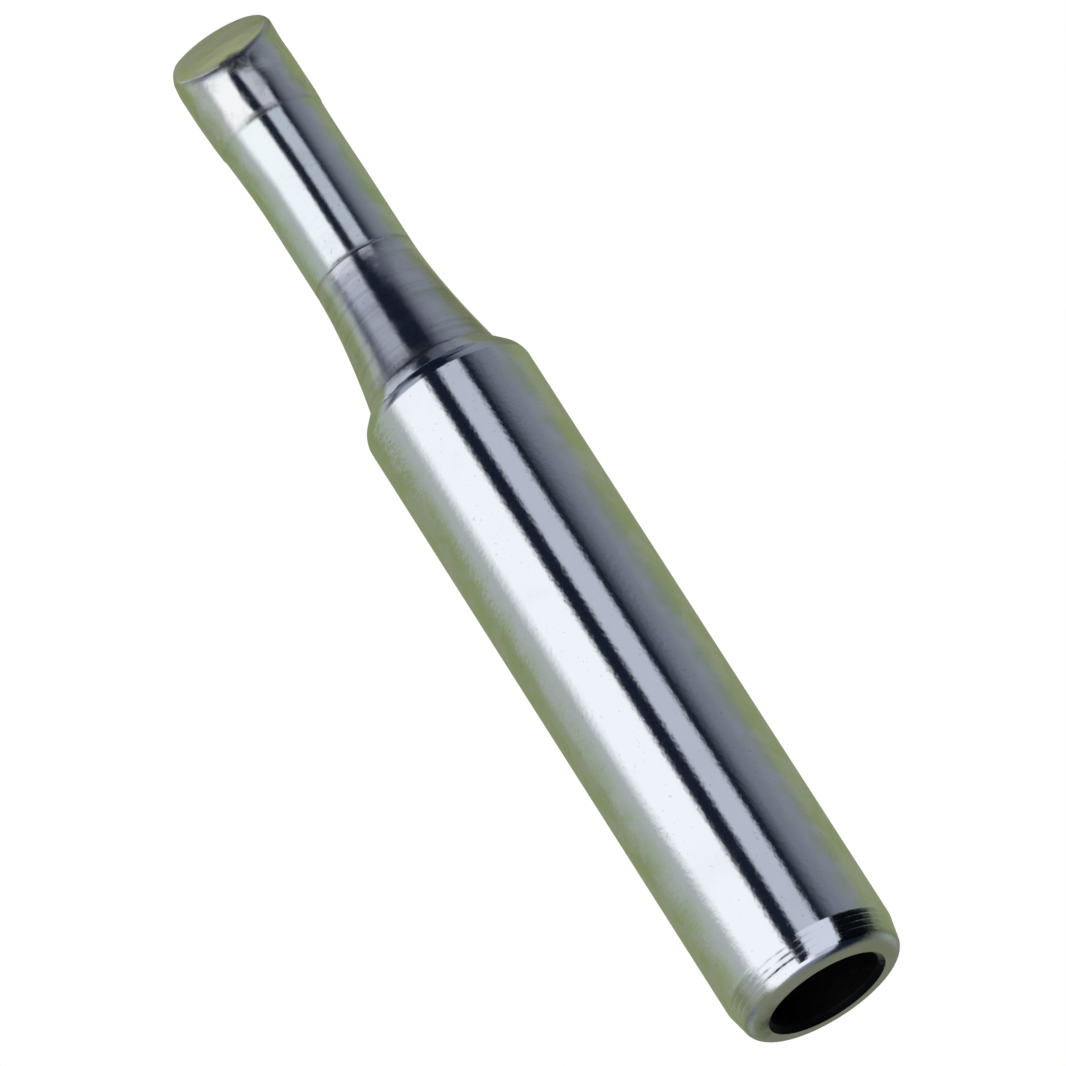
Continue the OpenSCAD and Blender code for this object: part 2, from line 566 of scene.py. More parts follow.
def rim_points():
    """Corners of the rim's round, its grooved taper and the barrel's start."""
    taper = math.degrees(math.atan2(RIM_TAPER_DEPTH, RIM_TAPER_LENGTH))
    points = [(taper_radius(0), 0, reach_of(RIM_ROUND, 90 - taper))]
    for z in RIM_GROOVES:
        for step, depth in ((-0.5, 0), (0, RIM_GROOVE_DEPTH), (0.5, 0)):
            place = z + step * RIM_GROOVE_WIDTH
            points.append((taper_radius(place) - depth, place, RIM_GROOVE_WIDTH / 5))
    return points + [(barrel_r, RIM_TAPER_LENGTH, 2 * EDGE_ROUND)]


print(f"rim {2 * taper_radius(0):.2f} mm across, with {len(RIM_GROOVES)} grooves behind it")

# %% [markdown]
# The shoulder is the cone that the iron's sleeve presses on, with a wide round below and a
# hollow corner above. An edge bevel after the spin could round both, but here each takes one
# number: the reach that a round needs follows from how far the outline turns at its corner.

# %% Corners of the shoulder
SHOULDER_START = 26.2
SHOULDER_DEPTH = 0.68
SHOULDER_ROUND = 0.8
ROOT_ROUND = 0.4
NECK_ROOT_SLOPE = 12

shoulder_end = 2 * shoulder_z - SHOULDER_START
neck_root_r = barrel_r - SHOULDER_DEPTH


def shoulder_points():
    """Corners where the barrel meets the cone, and the cone the neck."""
    cone = math.degrees(math.atan2(SHOULDER_DEPTH, shoulder_end - SHOULDER_START))
    return [(barrel_r, SHOULDER_START, reach_of(SHOULDER_ROUND, cone)),
            (neck_root_r, shoulder_end, reach_of(ROOT_ROUND, cone - NECK_ROOT_SLOPE))]


print(f"shoulder from {SHOULDER_START} to {shoulder_end:.1f} mm, {SHOULDER_DEPTH} mm deep")

# %% [markdown]
# The neck narrows in a curve, steeply at first. An arc or a Bezier curve would come close,
# but a power of the distance gives a slope that dies out at the shaft by itself. A turned
# line ends the neck. It is drawn shallower than it was cut, because residue has filled it.

# %% Corners of the neck
SHAFT_R = 1.93
NECK_LENGTH = 5.05
NECK_CURVE = 1.6
NECK_STEPS = 28
LINE_WIDTH = 0.14
LINE_DEPTH = 0.04
LINE_FILL = 0.027
STEP_SUPPORT = 0.02

neck_end = shoulder_end + NECK_LENGTH


def neck_point(u):
    """Point of the neck, with no round, a share u of the way from the shoulder to the line."""
    r = SHAFT_R + (neck_root_r - SHAFT_R) * (1 - u) ** NECK_CURVE
    return r, shoulder_end + u * (NECK_LENGTH - LINE_WIDTH), 0


def neck_points():
    """Points of the neck from above its hollow corner, and the turned line at its end."""
    points = [neck_point(i / NECK_STEPS) for i in range(2, NECK_STEPS)]
    points += [neck_point(1 - STEP_SUPPORT / NECK_LENGTH), neck_point(1)]
    line_r = SHAFT_R - LINE_DEPTH + LINE_FILL
    return points + [(line_r, neck_end - LINE_WIDTH / 2, LINE_WIDTH / 5),
                     (SHAFT_R, neck_end, LINE_WIDTH / 8)]


print(f"neck {NECK_LENGTH} mm long, from {2 * neck_root_r:.2f} to {2 * SHAFT_R:.2f} mm across")

# %% [markdown]
# The shaft swells into the tinned head in half a cosine wave, which starts and ends level.
# The tinning lies on it as a thin skin. A square step would be easier to draw, but solder
# wets the plating and runs out thin, so the drawing gives it a feather edge. The head goes
# on past the tip's end, because the bevel is cut from it later.

# %% Corners of the head
HEAD_R = 2.08
BEVEL_ANGLE = 52
TINNED_LENGTH = 5.6
TIN_STEP = 0.03
TIN_FEATHER = 0.2
SWELL_LENGTH = 2.5
SWELL_STEPS = 14
CUT_MARGIN = 0.8
HEAD_SPARE = 1

tin_z = top_z - TINNED_LENGTH
swell_z = tin_z - SWELL_LENGTH
bevel_tilt = math.radians(90 - BEVEL_ANGLE)
bevel_z = top_z - 2 * HEAD_R * math.tan(bevel_tilt)


def swell_radius(z):
    """Radius of the plated core where it swells from the shaft out to the head."""
    u = (z - swell_z) / (bevel_z - swell_z)
    return SHAFT_R + (HEAD_R - TIN_STEP - SHAFT_R) * (1 - math.cos(math.pi * u)) / 2


def swell_points(low, high, thickness):
    """Points of the swelling end between two heights, with a close one inside each end."""
    heights = [low + (high - low) * i / SWELL_STEPS for i in range(SWELL_STEPS + 1)]
    heights += [low + STEP_SUPPORT, high - STEP_SUPPORT]
    return [(swell_radius(z) + thickness, z, 0) for z in sorted(heights)]


def head_points():
    """Points of the swell, the tinning over it, and the head up to above the bevel."""
    points = swell_points(swell_z, tin_z, 0)
    points += swell_points(tin_z + TIN_FEATHER, bevel_z - CUT_MARGIN, TIN_STEP)
    return points + [(HEAD_R, top_z + HEAD_SPARE, 0), (0, top_z + HEAD_SPARE, 0)]


print(f"tinned end {top_z - tin_z:.2f} mm long, its bevel starts at {bevel_z:.2f} mm")

# %% [markdown]
# The corners become a chain of edges, and each is rounded with its own reach. The long
# straights then get two points close to each end. Smooth shading blends the directions of
# neighbouring faces, and on one long face that blend would run the whole length of the
# barrel and bend its reflections. Close points keep it at the edge, where it belongs.

# %% Draw the section
SUPPORTS = (0.3, 0.05)
ROUND_STEPS_PER_MM = 40
ROUND_STEPS_LEAST = 3


def round_corner(bm, corner, reach):
    """Round one corner of the section, in steps that suit its reach."""
    steps = max(ROUND_STEPS_LEAST, round(reach * ROUND_STEPS_PER_MM))
    bmesh.ops.bevel(bm, geom=[corner], offset=reach * MM, offset_type="OFFSET",
                    segments=steps, profile=0.5, affect="VERTICES", material=-1)


def support_straights(bm):
    """Split off a short edge at both ends of each long one."""
    for edge in [e for e in bm.edges if e.calc_length() > 3 * SUPPORTS[0] * MM]:
        for end in edge.verts[0], edge.verts[1]:
            part = edge
            for reach in SUPPORTS:
                part, _ = bmesh.utils.edge_split(part, end, reach * MM / part.calc_length())


def draw_section(bm, points):
    """The section as a chain of edges, its corners rounded and its straights supported."""
    corners = [bm.verts.new((r * MM, 0, z * MM)) for r, z, _ in points]
    for one, two in zip(corners, corners[1:]):
        bm.edges.new((one, two))
    for corner, (_, _, reach) in zip(corners, points):
        if reach:
            round_corner(bm, corner, reach)
    support_straights(bm)


section = bore_points() + rim_points() + shoulder_points() + neck_points() + head_points()
tip_bm = bmesh.new()
draw_section(tip_bm, section)
print(f"section of {len(tip_bm.verts)} points")

# %% [markdown]
# The spin turns the chain once round the axis. The Screw modifier does the same, but the
# operator gives faces at once, which the cut of the bevel needs. The last copy lands on the
# first, so a full turn is merged, and so are the points on the axis. The spin can turn the
# skin inside out, which recalculated normals put right.

# %% Spin the section round the axis
SPIN_STEPS = 256
MERGE_DISTANCE = 1e-7

bmesh.ops.spin(tip_bm, geom=tip_bm.verts[:] + tip_bm.edges[:], cent=(0, 0, 0), axis=(0, 0, 1),
               angle=2 * math.pi, steps=SPIN_STEPS, use_merge=True)
bmesh.ops.remove_doubles(tip_bm, verts=tip_bm.verts[:], dist=MERGE_DISTANCE)
bmesh.ops.recalc_face_normals(tip_bm, faces=tip_bm.faces[:])
print(f"turned body of {len(tip_bm.faces)} faces")

# %% [markdown]
# The bevel is the working face, one flat cut across the head. A Boolean with a block would
# do it, but the bisect operator needs no second body: it takes off everything above
# a plane, and a single face closes the end.

# %% Cut the bevel and close the end
CUT_TOLERANCE = 1e-8

face_centre = Vector((0, 0, (bevel_z + top_z) / 2)) * MM
face_normal = Vector((0, -math.sin(bevel_tilt), math.cos(bevel_tilt)))


def bisect_tip(place, normal, **cut):
    """Cut the whole tip along a plane."""
    bmesh.ops.bisect_plane(tip_bm, geom=tip_bm.verts[:] + tip_bm.edges[:] + tip_bm.faces[:],
                           dist=CUT_TOLERANCE, plane_co=place, plane_no=normal, **cut)


bisect_tip(face_centre, face_normal, clear_outer=True)
open_edges = [e for e in tip_bm.edges if e.is_boundary]
face = bmesh.ops.contextual_create(tip_bm, geom=open_edges)["faces"][0]
print(f"bevel closed by a face of {len(face.edges)} sides")

# %% [markdown]
# Molten solder draws itself round over the edge of the cut and stands a little proud of it,
# like water on a coin. So the new edge gets a wide bevel of many steps. Then rings of faces
# run in from it to the middle, because a single large face has nothing that could be lifted
# into a crown. A subdivided face would have squares that don't follow its round outline.

# %% Round the edge of the bevel
SOLDER_ROUND = 0.2
SOLDER_ROUND_STEPS = 8

solder_edge = bmesh.ops.bevel(tip_bm, geom=list(face.edges), offset=SOLDER_ROUND * MM,
                              offset_type="OFFSET", segments=SOLDER_ROUND_STEPS, profile=0.5,
                              affect="EDGES", material=-1)
face = max(tip_bm.faces, key=lambda f: len(f.verts))
print(f"solder edge of {len(solder_edge['faces'])} faces round a face of {len(face.edges)} sides")

# %% Lay rings on the face and slice the head
FACE_RINGS = 10
HEAD_SLICE = 0.15

to_centre = Matrix.Translation(-face.calc_center_median())
for ring in range(FACE_RINGS, 0, -1):
    face = bmesh.ops.extrude_discrete_faces(tip_bm, faces=[face])["faces"][0]
    bmesh.ops.scale(tip_bm, vec=Vector((1, 1, 1)) * ring / (ring + 1), space=to_centre,
                    verts=face.verts[:])
bmesh.ops.poke(tip_bm, faces=[face])
slice_z = bevel_z - CUT_MARGIN + HEAD_SLICE
while slice_z < top_z:
    bisect_tip((0, 0, slice_z * MM), (0, 0, 1))
    slice_z += HEAD_SLICE
print(f"{FACE_RINGS} rings, and slices of {HEAD_SLICE} mm, make {len(tip_bm.faces)} faces in all")

# %% Crown the face
FACE_CROWN = 0.08
ON_FACE = -1e-6

face_half = (HEAD_R - SOLDER_ROUND) * MM
for vert in tip_bm.verts:
    if (vert.co - face_centre).dot(face_normal) > ON_FACE:
        share = min(1, vert.co.xy.length / face_half)
        vert.co += face_normal * FACE_CROWN * MM * (1 - share ** 2)
print(f"crown of {FACE_CROWN} mm on a face {2 * face_half / MM:.2f} mm wide")

# %% [markdown]
# Solder is never turned true. It hangs to one side and lies in slow waves, a hundredth of
# a millimetre high, that bend every reflection on the tinned end. A small droplet has stayed
# under the face, and one corner of the face has slumped. Sculpting would do it by hand, but
# nobody could repeat that. So each vertex of the end moves by a rule: out by noise that
# grows in above the line where the tinning starts, out again near the droplet, down at
# the corner, and sideways by a smooth step along the height.

# %% Shape the solder
HEAD_LEAN = -0.16
LEAN_FROM = 34.5
LEAN_TO = 41.5
WAVE_HEIGHT = 0.02
WAVE_SIZE = 1.1
WAVE_GROWTH = 0.6
DROPLET_AT = Vector((0.14, -2.05, 40.7))
DROPLET_RADIUS = 0.6
DROPLET_HEIGHT = 0.03
LOW_CORNER = Vector((0.12, 0, -0.05))
LOW_CORNER_ACROSS = (1.5, 2.2)
LOW_CORNER_HEIGHTS = (41.2, 42.4)


def smooth(value, low, high):
    """0 below low and 1 above high, with a soft passage between."""
    u = min(1, max(0, (value - low) / (high - low)))
    return u * u * (3 - 2 * u)


for vert in tip_bm.verts:
    height = vert.co.z / MM
    if height > LEAN_FROM:
        outward = Vector((vert.co.x, vert.co.y, 0)).normalized()
        grown = smooth(height, tin_z, tin_z + WAVE_GROWTH)
        wave = noise.noise(vert.co / (WAVE_SIZE * MM)) * WAVE_HEIGHT * grown
        vert.co += outward * wave * MM
        near = 1 - smooth((vert.co / MM - DROPLET_AT).length, 0, DROPLET_RADIUS)
        vert.co += outward * DROPLET_HEIGHT * near * MM
        corner = smooth(-vert.co.x / MM, *LOW_CORNER_ACROSS) * smooth(height, *LOW_CORNER_HEIGHTS)
        vert.co += LOW_CORNER * corner * MM
        vert.co.x += HEAD_LEAN * MM * smooth(height, LEAN_FROM, LEAN_TO)
print(f"head leans by {HEAD_LEAN} mm, waves of {WAVE_HEIGHT} mm")

# %% [markdown]
# A tip that has been handled keeps a thin dark line of flux and polish where two surfaces
# meet, and painted shade darkens such lines, the rim's flat ring and the countersink. Its
# rim is duller than its barrel, and a painted olive reflection lies in clouds, like a film of
# flux, on two of its sides. Such things belong to places and not to whole materials. They
# could be painted on an image, but that would want an unwrapped map and a file. The mesh is
# fine enough to hold them as numbers on its vertices instead, which the materials read back
# as attributes: one for residue and painted shade, one for dullness, and one for the painted
# olive reflection. First come helpers that tell where a vertex is.

# %% Places on the tip
BELOW_CROWN = 0.04


def turned_from(place, middle):
    """Degrees between a place's azimuth and one that is counted from the camera's."""
    azimuth = math.degrees(math.atan2(place.x, -place.y)) - CAMERA_AZIMUTH - middle
    return abs((azimuth + 180) % 360 - 180)


def facing(place, middle, spread):
    """1 on the side at an azimuth from the camera, falling to 0 a spread away, in degrees."""
    return 1 - smooth(turned_from(place, middle), 0, spread)


def below_bevel(place):
    """Distance of a place in millimetres from a plane just below the bevel's."""
    return abs((place * MM - face_centre).dot(face_normal) / MM + BELOW_CROWN)


def uneven(place, middle, swing, per_mm):
    """A number that wanders about a middle from place to place, as dirt does."""
    return middle + swing * noise.noise(place * per_mm)


print(f"the droplet sits {turned_from(DROPLET_AT, 0):.1f} degrees from the front")

# %% [markdown]
# Dirt gathers where a cloth doesn't reach, and shade falls in the same places, so the dark
# lines in the shoulder's hollow corner, in the turned line and where the tinning starts are
# dirt and painted shade together. Neither fills a line evenly, so each line wanders a
# little in height, thins out in patches, and is darkest at an azimuth of its own. From the
# shoulder a smudge climbs the neck, and the grooves behind the rim have caught some polish.

# %% Residue and painted shade in lines, residue in grooves
# Each dark line: height, half width, strength, and azimuth where it's darkest
DARK_LINES = ((27.0, 0.4, 0.75, -14), (32.02, 0.17, 0.75, -8), (38.37, 0.22, 1.0, -4))
LINE_SPREAD = 52
LINE_LEAST = 0.3
NECK_SMUDGE = (27.0, 28.4, 0.55)
NECK_SMUDGE_MIDDLE = -26
NECK_SMUDGE_SPREAD = 40
GROOVE_STRENGTH = 0.9
GROOVE_MIDDLE = -14
GROOVE_SPREAD = 34


def line_dirt_and_shade(place):
    """Dirt and painted shade of the dark lines."""
    wander = uneven(place, 0, 0.03, 0.9)
    patchy = min(1, uneven(place, 0.95, 0.5, 0.8))
    amounts = []
    for height, half_width, strength, middle in DARK_LINES:
        # Each line is dirt and painted shade, darkest at its own azimuth.
        line = 1 - smooth(abs(place.z - height + wander), 0, half_width)
        share = max(LINE_LEAST, facing(place, middle, LINE_SPREAD))
        amounts.append(strength * patchy * line * share)
    return max(amounts)


def neck_residue(place):
    """Residue of the smudge that climbs the neck."""
    low, high, strength = NECK_SMUDGE
    if not low < place.z < high:
        return 0
    patch = uneven(place, 0.8, 0.5, 2.2)
    patch *= facing(place, NECK_SMUDGE_MIDDLE, NECK_SMUDGE_SPREAD)
    return strength * patch * (1 - smooth(place.z, low, high))


def groove_residue(place):
    """Polish caught in the grooves behind the rim."""
    line = max(1 - smooth(abs(place.z - height), 0, RIM_GROOVE_WIDTH) for height in RIM_GROOVES)
    broken = min(1, uneven(place, 0.75, 1, 2.5))
    return GROOVE_STRENGTH * line * broken * facing(place, GROOVE_MIDDLE, GROOVE_SPREAD)


print(f"{len(DARK_LINES)} dark lines, and a smudge up to {NECK_SMUDGE[1]} mm")

# %% [markdown]
# On the rim's flat ring, painted shade comes in from one side and deepens towards the bore.
# The countersink is painted nearly black as shade, and lighter, as painted light, on the
# side where light grazes it. Under the bevel, flux has burnt on to the droplet, and a faint
# dark line follows the bevel's lower edge. Each of them gives an amount of its own, and the
# largest at a place counts, because dark on dark looks no darker.

# %% Painted shade at the rim, and residue under the bevel
HAIR = 0.01
RIM_FLAT_TOP = 0.12
RIM_SHADE_MIDDLE = -72
RIM_SHADE_SPREAD = 50
RIM_SHADE_STRENGTH = 0.6
MOUTH_SHADE = 1.3
MOUTH_PAINTED_LIGHT = 0.8
MOUTH_PAINTED_LIGHT_MIDDLE = 72
MOUTH_PAINTED_LIGHT_SPREAD = 60
BURNT_RADIUS = 0.85
BURNT_STRENGTH = 0.68
HEAD_SIDE_R = HEAD_R - 0.3
EDGE_LINE_WIDTH = 0.3
EDGE_LINE_STRENGTH = 0.4
EDGE_LINE_MIDDLE = 8
EDGE_LINE_SPREAD = 60


def rim_painted_shade(place):
    """Painted shade on the rim's flat ring, and in the countersink, lighter on one side."""
    amount = 0
    if place.z < RIM_FLAT_TOP:
        # Painted shade on the flat ring, darker towards the bore and on one side.
        inward = 1 - smooth(place.xy.length, bore_r, barrel_r)
        rim_shade = RIM_SHADE_STRENGTH * uneven(place, 1, 0.4, 2.5) * inward
        amount = rim_shade * facing(place, RIM_SHADE_MIDDLE, RIM_SHADE_SPREAD)
    # Painted shade in the countersink, lifted by painted light on the side where light grazes it.
    if place.z < mouth_top + HAIR and place.xy.length < bore_r + mouth_top + HAIR:
        lit_side = MOUTH_PAINTED_LIGHT * facing(place, MOUTH_PAINTED_LIGHT_MIDDLE, MOUTH_PAINTED_LIGHT_SPREAD)
        amount = max(amount, MOUTH_SHADE - lit_side)
    return amount


def bevel_residue(place):
    """A burnt patch on the droplet, and a faint dark line along the bevel's lower edge."""
    burnt = (place - DROPLET_AT).length + uneven(place, 0, 0.2, 3)
    amount = BURNT_STRENGTH * (1 - smooth(burnt, 0.4 * BURNT_RADIUS, BURNT_RADIUS))
    # A faint dark line along the bevel's lower edge, darkest towards the front.
    if place.y < 0 and place.xy.length > HEAD_SIDE_R:
        drop = below_bevel(place) + uneven(place, 0, 0.18, 1.3)
        fade = 1 - smooth(drop, 0.3 * EDGE_LINE_WIDTH, EDGE_LINE_WIDTH)
        line = EDGE_LINE_STRENGTH * fade * facing(place, EDGE_LINE_MIDDLE, EDGE_LINE_SPREAD)
        amount = max(amount, line)
    return amount


def residue_and_shade_at(place):
    """Share of the surface that dirt and painted shade cover at a place in millimetres."""
    return max(line_dirt_and_shade(place), neck_residue(place), groove_residue(place),
               rim_painted_shade(place), bevel_residue(place))


print(f"residue on the droplet: {residue_and_shade_at(DROPLET_AT):.2f}")

# %% [markdown]
# The rim is rubbed dull by the table and by fingers, furthest up at its sides, and solder
# sets dull along its edge. A painted olive reflection, in clouds like a film of flux, lies
# on two sides and leaves the front and the back clear. Nothing here has a sharp border, so
# each is a soft passage between two heights, distances or azimuths.

# %% Dullness and the painted olive reflection on the sides
RIM_DULL_Z = 0.3
RIM_DULL_MORE = 0.6
RIM_DULL_MIDDLE = -5
RIM_DULL_SIDES = (35, 80)
EDGE_DULL_WIDTH = 0.25
EDGE_DULL_STRENGTH = 0.5
# Azimuths from the front between which the painted olive reflection comes in, and goes out again
REFLECTION_IN = (36, 54)
REFLECTION_OUT = (84, 112)


def dull_at(place):
    """How dull the surface is at a place in millimetres: the rim is, and the solder's edge."""
    if place.z > shoulder_end and place.xy.length > HEAD_SIDE_R:
        edge = 1 - smooth(below_bevel(place), 0.5 * EDGE_DULL_WIDTH, EDGE_DULL_WIDTH)
        return EDGE_DULL_STRENGTH * edge
    sides = smooth(turned_from(place, RIM_DULL_MIDDLE), *RIM_DULL_SIDES)
    return 1 - smooth(place.z, 0, RIM_DULL_Z + RIM_DULL_MORE * sides)


def flux_and_reflection_at(place):
    """Share of the painted olive reflection on the sides at a place in millimetres."""
    turned = turned_from(place, 0)
    return smooth(turned, *REFLECTION_IN) * (1 - smooth(turned, *REFLECTION_OUT))


print(f"the rim is dull up to {RIM_DULL_Z} mm, and {RIM_DULL_MORE} mm further at its sides")

# %% Write the three numbers on the vertices
DARKENED = 0.1

residue_and_shade_layer = tip_bm.verts.layers.float.new("residue_and_shade")
dull_layer = tip_bm.verts.layers.float.new("dull")
flux_and_reflection_layer = tip_bm.verts.layers.float.new("flux_and_reflection")
for vert in tip_bm.verts:
    place = vert.co / MM
    # Dirt and painted shade, as one number.
    vert[residue_and_shade_layer] = residue_and_shade_at(place)
    vert[dull_layer] = dull_at(place)
    # Painted olive reflection on the sides.
    vert[flux_and_reflection_layer] = flux_and_reflection_at(place)
print("residue on", sum(v[residue_and_shade_layer] > DARKENED for v in tip_bm.verts), "vertices")

# %% [markdown]
# The tip has five surfaces: bright plating on the barrel, duller plating with turning rings
# on the neck, plating on the shaft, solder on the head, and the burnt wall of the bore. Each
# could be an object of its own, but the real tip has no seams, so they stay one mesh. They
# meet at heights that the section gives, and a face's centre tells which it belongs to.

# %% Sort the faces into surfaces
SURFACES = ("barrel_plate", "neck_plate", "shaft_plate", "solder", "bore_oxide")
BORE_MARGIN_R = 0.02
BORE_MARGIN_Z = 0.1


def surface_of(centre):
    """Index of the surface that a face belongs to, from its centre in millimetres."""
    if centre.z < bore_end + BORE_MARGIN_Z and centre.xy.length < bore_r + BORE_MARGIN_R:
        return SURFACES.index("bore_oxide")
    if centre.z < shoulder_end:
        return SURFACES.index("barrel_plate")
    if centre.z < neck_end:
        return SURFACES.index("neck_plate")
    return SURFACES.index("shaft_plate" if centre.z < tin_z else "solder")


for bm_face in tip_bm.faces:
    bm_face.smooth = True
    bm_face.material_index = surface_of(bm_face.calc_center_median() / MM)
for index, surface in enumerate(SURFACES):
    print(surface, "on", sum(f.material_index == index for f in tip_bm.faces), "faces")

# %% Make the mesh an object
tip_mesh = bpy.data.meshes.new("soldering_tip_body")
tip_bm.to_mesh(tip_mesh)
tip_bm.free()
tip = bpy.data.objects.new("soldering_tip_body", tip_mesh)
bpy.context.scene.collection.objects.link(tip)
print(f"{len(tip_mesh.vertices)} vertices, {len(tip_mesh.polygons)} faces")

# %% [markdown]
# Five effects turn up on more than one of the tip's surfaces. Their nodes could be copied
# from tree to tree, but then a change has to be made in each. So each is a node group,
# built once and placed in each material with its own sizes. A group gives a mask or
# a height, and the material decides what to do with it. They all start from noise, and
# because Object coordinates are metres, a feature's size is turned into a scale first.

# %% Helpers for node groups
def new_group(name, inputs, outputs):
    """An empty node group with float inputs and their defaults, and float outputs."""
    group = bpy.data.node_groups.new(name, "ShaderNodeTree")
    group.interface.new_socket("Place", in_out="INPUT", socket_type="NodeSocketVector")
    for socket_name, value in inputs:
        socket = group.interface.new_socket(socket_name, in_out="INPUT", socket_type="NodeSocketFloat")
        socket.default_value = value
    for socket_name in outputs:
        group.interface.new_socket(socket_name, in_out="OUTPUT", socket_type="NodeSocketFloat")
    return group, add(group, "NodeGroupInput"), add(group, "NodeGroupOutput")


def per_feature(group, source, size):
    """The place counted in features, whose size in millimetres is one of the group's inputs."""
    per_metre = math_node(group, "DIVIDE", 1 / MM, source.outputs[size])
    scaled = add(group, "ShaderNodeVectorMath", operation="SCALE")
    group.links.new(source.outputs["Place"], scaled.inputs[0])
    group.links.new(per_metre, scaled.inputs["Scale"])
    return scaled.outputs["Vector"]


def noise_node(tree, vector, detail=2.0, roughness=0.5, distortion=0.0):
    """Noise from 0 to 1 with one feature, or so, to each unit of the vector."""
    made = add(tree, "ShaderNodeTexNoise", Scale=1.0, Detail=detail, Distortion=distortion)
    made.inputs["Roughness"].default_value = roughness
    tree.links.new(vector, made.inputs["Vector"])
    return made.outputs["Fac"]


GROUPS = {}
print(f"a feature of 0.2 mm needs a noise scale of {1 / MM / 0.2:.0f}")

# %% [markdown]
# Plating is never flawless. Pits are specks where it didn't take, so they are the lowest
# spots of a fine noise, cut off at a level that their share sets. Ripples are the slow
# unevenness that polishing leaves in the copper under the plating. They are what tells
# real metal from a mirror, and a plain, smooth noise is all they need.

# %% Pits and ripples
PIT_LEVEL = 0.3
PIT_LEVEL_PER_SHARE = 0.35
PIT_SOFTNESS = 0.06


def make_pits():
    """Specks in the plating, as a mask and as a height of -1."""
    group, source, result = new_group("pits", (("Size", 0.2), ("Share", 0.2)), ("Mask", "Height"))
    grain = noise_node(group, per_feature(group, source, "Size"), 3.0)
    edge = math_node(group, "MULTIPLY_ADD", source.outputs["Share"], PIT_LEVEL_PER_SHARE, PIT_LEVEL)
    mask = smooth_step(group, math_node(group, "SUBTRACT", edge, grain), 0.0, PIT_SOFTNESS)
    group.links.new(mask, result.inputs["Mask"])
    group.links.new(math_node(group, "MULTIPLY", mask, -1), result.inputs["Height"])
    return group


def make_ripples():
    """Slow unevenness, as a height of -0.5 to 0.5."""
    group, source, result = new_group("ripples", (("Size", 0.6),), ("Height",))
    slow = noise_node(group, per_feature(group, source, "Size"), 1.0)
    group.links.new(math_node(group, "SUBTRACT", slow, 0.5), result.inputs["Height"])
    return group


GROUPS["pits"] = make_pits()
GROUPS["ripples"] = make_ripples()
print("node groups:", ", ".join(GROUPS))

# %% [markdown]
# A lathe leaves rings. A Wave texture would draw them, but all alike. Noise that is
# stretched across the axis hardly changes on the way round and quickly along the tip, so
# each ring is different, as a tool leaves them. Smudges are the films that flux and
# fingers leave: larger clouds, bent a little out of shape, with soft borders.

# %% Turning marks and smudges
MARK_STRETCH = (0.03, 0.03, 1)
SMUDGE_LEVEL = 0.72
SMUDGE_LEVEL_PER_SHARE = 0.4
SMUDGE_SOFTNESS = (-0.08, 0.14)


def make_marks():
    """Rings round the axis, as a height of -0.5 to 0.5."""
    group, source, result = new_group("turning_marks", (("Spacing", 0.15),), ("Height",))
    stretch = add(group, "ShaderNodeVectorMath", operation="MULTIPLY")
    stretch.inputs[1].default_value = MARK_STRETCH
    group.links.new(per_feature(group, source, "Spacing"), stretch.inputs[0])
    rings = noise_node(group, stretch.outputs["Vector"], 2.0, 0.6)
    group.links.new(math_node(group, "SUBTRACT", rings, 0.5), result.inputs["Height"])
    return group


def make_smudges():
    """Clouds that cover a share of the surface, as a mask."""
    group, source, result = new_group("smudges", (("Size", 1.5), ("Share", 0.4)), ("Mask",))
    cloud = noise_node(group, per_feature(group, source, "Size"), 3.0, 0.55, 0.3)
    covered = math_node(group, "MULTIPLY", source.outputs["Share"], SMUDGE_LEVEL_PER_SHARE)
    edge = math_node(group, "SUBTRACT", SMUDGE_LEVEL, covered)
    over = math_node(group, "SUBTRACT", cloud, edge)
    group.links.new(smooth_step(group, over, *SMUDGE_SOFTNESS), result.inputs["Mask"])
    return group


GROUPS["marks"] = make_marks()
GROUPS["smudges"] = make_smudges()
print("node groups:", ", ".join(GROUPS))

# %% [markdown]
# The amount of residue and painted shade comes from the vertices, so its edge is as smooth
# as the mesh. Real dirt has a ragged edge, and the painted shade is given the same one. More
# vertices would cost a lot and change little, so this group multiplies the amount by a fine
# grain before it makes a mask of it.

# %% Ragged residue and painted shade
GRAIN_LOW = 0.5
GRAIN_SWING = 1.1
RESIDUE_FULL = 1.1


def make_residue_and_shade():
    """The share that dirt and painted shade cover, broken up by a grain, as a mask."""
    group, source, result = new_group("residue_and_shade", (("Amount", 0.0), ("Size", 0.17)), ("Mask",))
    grain = noise_node(group, per_feature(group, source, "Size"))
    strength = math_node(group, "MULTIPLY_ADD", grain, GRAIN_SWING, GRAIN_LOW)
    broken = math_node(group, "MULTIPLY", source.outputs["Amount"], strength)
    group.links.new(smooth_step(group, broken, 0.0, RESIDUE_FULL), result.inputs["Mask"])
    return group


GROUPS["residue_and_shade"] = make_residue_and_shade()
print("node groups:", ", ".join(GROUPS))

# %% [markdown]
# Every metal here is one shader with other values, so a single function makes them all. It
# first gathers what the groups and the vertices say about a place. The clouds of the painted
# olive reflection and the grain of the residue and painted shade have the same size on
# every metal. Pits, ripples, marks and smudges differ from metal to metal.

# %% Masks and heights of a metal
REFLECTION_CLOUD_SIZE = 1.2
REFLECTION_CLOUD_SHARE = 0.68
RESIDUE_GRAIN = 1 / 6


def place_group(tree, kind, place, **values):
    """Outputs of a group at a place, with its other inputs fed by sockets or numbers."""
    made = add(tree, "ShaderNodeGroup", node_tree=GROUPS[kind])
    tree.links.new(place, made.inputs["Place"])
    for name, value in values.items():
        if isinstance(value, bpy.types.NodeSocket):
            tree.links.new(value, made.inputs[name])
        else:
            made.inputs[name].default_value = value
    return made.outputs


